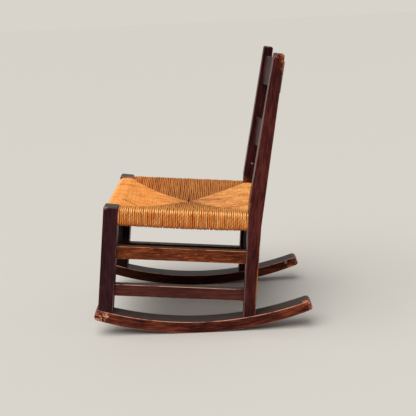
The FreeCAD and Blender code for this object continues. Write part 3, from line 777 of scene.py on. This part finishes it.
def rushPanel(side, tree, keys):
    panel = panels[side]
    pathSeed, cordSeed = rushSeat["seeds"][side]
    dice = random.Random(pathSeed)
    count = round((panel["high"] - panel["low"]) / rushSeat["cord"])
    spacing = (panel["high"] - panel["low"]) / count
    paths = bpy.data.curves.new(side + " cords", "CURVE")
    paths.dimensions = "3D"
    for i in range(count):
        spot = panel["low"] + (i + 0.5) * spacing
        if 0 < i < count - 1:
            spot += dice.uniform(-0.5, 0.5) * rushSeat["spread"] * spacing
        points = cordPath(side, spot, dice)
        line = paths.splines.new("POLY")
        line.points.add(len(points) - 1)
        line.points.foreach_set("co", [value for point in points for value in (*point, 1.0)])
    draft = newObject(side + " route", paths)
    sweep = draft.modifiers.new("cords", "NODES")
    sweep.node_group = tree
    given = {"Cord Radius": rushSeat["cord"] * rushSeat["girth"] / 2, "Sides": rushSeat["sides"]}
    given.update({"Ring Step": rushSeat["ringStep"], "Lay": rushSeat["lay"], "Swell": rushSeat["swell"]})
    given.update({"Groove": rushSeat["groove"], "Thick And Thin": rushSeat["thickAndThin"]})
    given.update({"Seed": cordSeed, "Material": rushFinish(side)})
    for name, value in given.items():
        sweep[keys[name]] = value
    mesh = settled(draft)
    addPiece("rush_" + side, mesh, "rush", side + "_rush_panel")
    print(side, "rush:", count, "cords,", len(mesh.polygons), "faces")


cords, cordKeys = cordTree()
for side in panels:
    rushPanel(side, cords, cordKeys)


# Packing between the layers of rush, hidden but for what shows in the creases
packing = {
    "voxel": 0.005,
    "soften": (0.5, 6),        # factor and rounds
    "lump": 0.0012,
    "lumpScale": 90,
    "draw": 0.0016,            # kept in from the rush
    "colour": rgb(84, 46, 18),
    "leaves": (160, 4, 0.65, 1.2),
    "relief": (0.6, 0.001),
}


def packingFinish():
    material, bench = newMaterial("packing")
    leaves = noise(bench.node("ShaderNodeTexCoord", out="Object"), *packing["leaves"])
    dark = tuple(0.35 * part for part in packing["colour"])
    colour = ramp(leaves, [(0.3, dark), (0.7, packing["colour"])])
    closeMaterial(bench, {"Base Color": colour, "Roughness": 0.85, "Normal": bump(leaves, *packing["relief"])})
    return material


def packingPad(side, material):
    node = side + "_stuffing"
    draft = newObject(node + " draft", mergedCopy(node))
    remesh = draft.modifiers.new("even", "REMESH")
    remesh.mode = "VOXEL"
    remesh.voxel_size = packing["voxel"]
    rounded = draft.modifiers.new("soften", "SMOOTH")
    rounded.factor, rounded.iterations = packing["soften"]
    mesh = settled(draft)
    for vertex in mesh.vertices:
        swell = lumps.noise(vertex.co * packing["lumpScale"])
        back, height = vertex.co.dot(seatBack), vertex.co.dot(seatUp)
        outward = {"front": centreBack - back, "rear": back - centreBack}.get(side, abs(vertex.co.x))
        share = min(1.0, max(0.0, outward / panels[side]["rim"]))
        fall = topDip * (share - share ** fullness(side, back))       # the upper side follows the dish
        upper = (height - rushBottom) / (rushTop - rushBottom) * 2.5 - 0.75       # 0 low in the pad, 1 high
        vertex.co -= vertex.normal * (packing["draw"] - packing["lump"] * swell)
        vertex.co -= seatUp * (fall * min(1.0, max(0.0, upper)))
    mesh.shade_smooth()
    dress(mesh, material)
    pad = addPiece("packing_" + side, mesh, "stuffing", node)


packingMaterial = packingFinish()
for side in panels:
    packingPad(side, packingMaterial)
print("seat packed")


# Studio: pale floor, soft light from above and in front, camera at the chair's left side
studio = {
    "floor": rgb(204, 200, 192),
    "floorReach": 60.0,
    "backdrop": rgb(216, 212, 204),
    "ambient": 0.3,            # sky light, as a share of white
    "skylight": 3.0,           # one broad light from above
    "skylightFrom": (0.3, -0.3, 0.9),
    "skylightSpread": math.radians(60),
}
photoCamera = {
    "place": (2.1517, 0.0703, 0.9153),
    "down": math.radians(15.426),
    "turn": math.radians(-1.192),
    "roll": math.radians(-2.884),
    "lens": 61.83,
}


def makeFloor():
    reach = studio["floorReach"]
    mesh = bpy.data.meshes.new("floor")
    corners = [(-reach, -reach, 0), (reach, -reach, 0), (reach, reach, 0), (-reach, reach, 0)]
    mesh.from_pydata(corners, [], [(0, 1, 2, 3)])
    material, bench = newMaterial("floor")
    closeMaterial(bench, {"Base Color": (*studio["floor"], 1.0), "Roughness": 0.7, "Specular IOR Level": 0.2})
    dress(mesh, material)
    newObject("floor", mesh)


def makeLight():
    world = bpy.data.worlds.new("studio")
    world.use_nodes = True
    world.node_tree.nodes.clear()
    bench = Shade(world.node_tree)
    seen = bench.node("ShaderNodeLightPath", out="Is Camera Ray")
    ambient = [studio["ambient"]] * 3
    glow = bench.node("ShaderNodeBackground", None, {"Color": tint(seen, ambient, studio["backdrop"])})
    bench.node("ShaderNodeOutputWorld", None, {0: glow})
    bpy.context.scene.world = world
    broad = bpy.data.lights.new("skylight", "SUN")
    broad.energy = studio["skylight"]
    broad.angle = studio["skylightSpread"]
    lamp = newObject("skylight", broad)
    lamp.rotation_euler = (-Vector(studio["skylightFrom"])).to_track_quat("-Z", "Y").to_euler()


def makeCamera():
    down, turn, roll = photoCamera["down"], photoCamera["turn"], photoCamera["roll"]
    ahead = Vector((-math.cos(down) * math.cos(turn), math.cos(down) * math.sin(turn), -math.sin(down)))
    level = ahead.cross(Vector((0, 0, 1))).normalized()
    over = level.cross(ahead)
    right = level * math.cos(roll) + over * math.sin(roll)
    top = right.cross(ahead)
    lens = bpy.data.cameras.new("camera")
    lens.sensor_width = 36.0
    lens.lens = photoCamera["lens"]
    lens.clip_end = 200.0
    camera = newObject("camera", lens)
    turned = Matrix((right, top, -ahead)).transposed().to_4x4()
    camera.matrix_world = Matrix.Translation(photoCamera["place"]) @ turned
    bpy.context.scene.camera = camera


makeFloor()
makeLight()
makeCamera()
bpy.context.scene.view_settings.view_transform = "Standard"
print("studio set")
